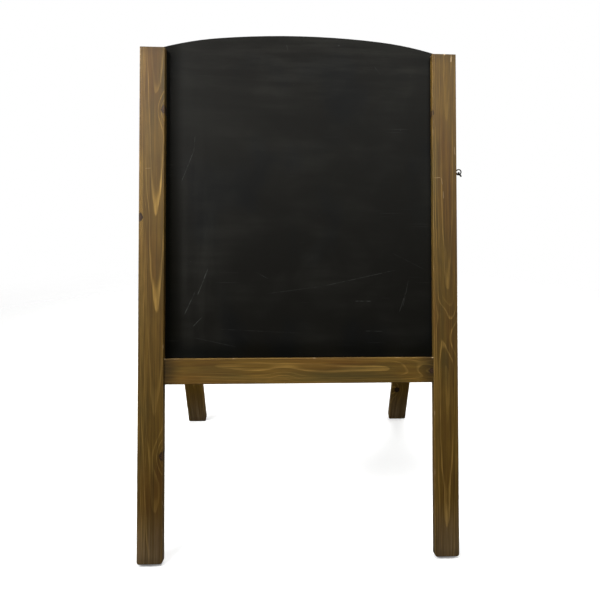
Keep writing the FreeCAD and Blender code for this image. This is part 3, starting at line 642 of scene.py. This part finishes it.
def makeBeech(name, side, seed):
    # Dowels lie along X, so their grain does too
    material, tree, shader = newFinish(name, Specular_IOR_Level=beech["specular"])
    place = framePlace(tree, side)
    streaks = noise(tree, stretch(tree, place, *beech["grain"]), seed, detail=3)
    flecks = noise(tree, stretch(tree, place, *beech["flecks"]), seed + 4, detail=1)
    colour = mixColour(tree, fade(tree, streaks, 0.35, 0.7, 0.0, 0.45), beech["pale"], beech["fleck"])
    colour = mixColour(tree, fade(tree, flecks, 0.66, 0.74, 0.0, 0.8), colour, beech["fleck"])
    gloss = fade(tree, streaks, 0.2, 0.8, *beech["gloss"])
    relief = calc(tree, "MULTIPLY", streaks, beech["grainRelief"])
    normal = bump(tree, relief, beech["relief"])
    connect(tree, shader, Base_Color=colour, Roughness=gloss, Normal=normal)
    return material


dress(["front_dowels"], makeBeech("beech_front", front, 3.0))
dress(["rear_dowels"], makeBeech("beech_rear", rear, 8.0))


# Camera, floor and light
cameraSetup = {
    "place": (-0.01299, -1.27242, 0.77783),
    "turn": 3.761,      # degrees towards +X
    "down": 15.463,
    "roll": 0.991,
    "lens": 36.764,
    "sensor": 36.0,
    "shift": -0.05392,
}


def makeCamera():
    turn, down, roll = (radians(cameraSetup[name]) for name in ("turn", "down", "roll"))
    forward = Vector((sin(turn) * cos(down), cos(turn) * cos(down), -sin(down)))
    level = Vector((cos(turn), -sin(turn), 0))
    right = level * cos(roll) + level.cross(forward) * sin(roll)
    up = right.cross(forward)
    data = bpy.data.cameras.new("camera")
    data.sensor_width = cameraSetup["sensor"]
    data.lens = cameraSetup["lens"]
    data.shift_x = cameraSetup["shift"]
    camera = bpy.data.objects.new("camera", data)
    bpy.context.scene.collection.objects.link(camera)
    axes = Matrix((right, up, -forward)).transposed().to_4x4()
    camera.matrix_world = Matrix.Translation(cameraSetup["place"]) @ axes
    bpy.context.scene.camera = camera


floorSetup = {
    "radius": 6.0,
    "sides": 96,
    "seen": (0.93, 0.93, 0.925),
    "bounce": (0.06, 0.06, 0.059),      # the light that it throws back up
    "glow": 0.20,                       # keeps its shadows faint
    "fadeFrom": 0.9,
    "fadeTo": 2.4,
    "tintSize": 1.4,
    "tintRange": (0.985, 1.015),
    "roughness": 0.8,
    "specular": 0.1,
}


def makeFloor():
    sides, radius = floorSetup["sides"], floorSetup["radius"]
    angles = [2 * pi * i / sides for i in range(sides)]
    ring = [(radius * cos(angle), radius * sin(angle), 0) for angle in angles]
    mesh = bpy.data.meshes.new("floor")
    mesh.from_pydata(ring, [], [list(range(sides))])
    floor = bpy.data.objects.new("floor", mesh)
    bpy.context.scene.collection.objects.link(floor)
    material, tree, shader = newFinish("pale_floor", Roughness=floorSetup["roughness"],
                                       Specular_IOR_Level=floorSetup["specular"],
                                       Emission_Color=(1, 1, 1, 1))
    place = addNode(tree, "TexCoord").outputs["Object"]
    isCamera = addNode(tree, "LightPath").outputs["Is Camera Ray"]
    tint = noise(tree, stretch(tree, place, *[floorSetup["tintSize"]] * 3), 1.0, detail=2)
    colour = mixColour(tree, isCamera, floorSetup["bounce"], floorSetup["seen"])
    colour = scaleColour(tree, colour, fade(tree, tint, 0.2, 0.8, *floorSetup["tintRange"]))
    glow = calc(tree, "MULTIPLY", isCamera, floorSetup["glow"])
    connect(tree, shader, Base_Color=colour, Emission_Strength=glow)
    # The floor thins out into the pale surround, so there is no horizon line
    away = addNode(tree, "VectorMath", {0: place}, operation="LENGTH").outputs["Value"]
    gone = fade(tree, away, floorSetup["fadeFrom"], floorSetup["fadeTo"])
    clear = addNode(tree, "BsdfTransparent").outputs[0]
    mix = addNode(tree, "MixShader", {0: gone, 1: shader.outputs[0], 2: clear})
    tree.links.new(mix.outputs[0], tree.nodes["Material Output"].inputs["Surface"])
    mesh.materials.append(material)


surround = {"seen": (1.0, 1.0, 1.0), "low": 0.02, "high": 0.12, "glowFrom": 0.05, "glowTo": 0.7}


def makeSurround():
    # White to the eye, and a dim glow from above for everything else
    world = bpy.data.worlds.new("surround")
    world.use_nodes = True
    bpy.context.scene.world = world
    tree = world.node_tree
    seen = tree.nodes["Background"]
    seen.inputs["Color"].default_value = (*surround["seen"], 1)
    height = addNode(tree, "SeparateXYZ", {0: addNode(tree, "TexCoord").outputs["Generated"]}).outputs["Z"]
    glowStrength = fade(tree, height, surround["glowFrom"], surround["glowTo"],
                        surround["low"], surround["high"])
    glow = addNode(tree, "Background", {"Strength": glowStrength})
    isCamera = addNode(tree, "LightPath").outputs["Is Camera Ray"]
    mix = addNode(tree, "MixShader", {0: isCamera, 1: glow.outputs[0], 2: seen.outputs[0]})
    tree.links.new(mix.outputs[0], tree.nodes["World Output"].inputs["Surface"])


# Softboxes: where they stand, what they face, width and height, power, spread in degrees
softboxes = {
    "key_left": ((-1.25, -0.80, 1.80), (-0.2, 0.0, 1.00), (1.1, 0.7), 21.5, 100),
    "front_high": ((0.65, -1.50, 2.15), (0.15, 0.0, 0.95), (1.0, 0.8), 6.5, 90),
    "top": ((0.30, -0.30, 2.60), (0.0, -0.1, 0.5), (1.4, 1.4), 15, 180),
    "fill_right": ((2.20, 0.30, 1.20), (0.0, 0.0, 0.50), (1.2, 1.2), 20, 180),
    "fill_left": ((-2.20, 0.30, 1.20), (0.0, 0.0, 0.50), (1.2, 1.2), 9, 180),
    "back_soft": ((0.60, 2.20, 2.00), (0.0, 0.0, 0.50), (1.6, 1.2), 46, 180),
}


def makeSoftbox(name, place, target, size, power, spread):
    data = bpy.data.lights.new(name, "AREA")
    data.shape = "RECTANGLE"
    data.size, data.size_y = size
    data.energy = power
    data.spread = radians(spread)
    lamp = bpy.data.objects.new(name, data)
    bpy.context.scene.collection.objects.link(lamp)
    lamp.location = place
    lamp.rotation_euler = (Vector(target) - Vector(place)).to_track_quat("-Z", "Y").to_euler()
    lamp.visible_camera = False


makeCamera()
makeFloor()
makeSurround()
for name, setup in softboxes.items():
    makeSoftbox(name, *setup)
bpy.context.scene.view_settings.view_transform = "Standard"
print("camera, floor and lights ready")
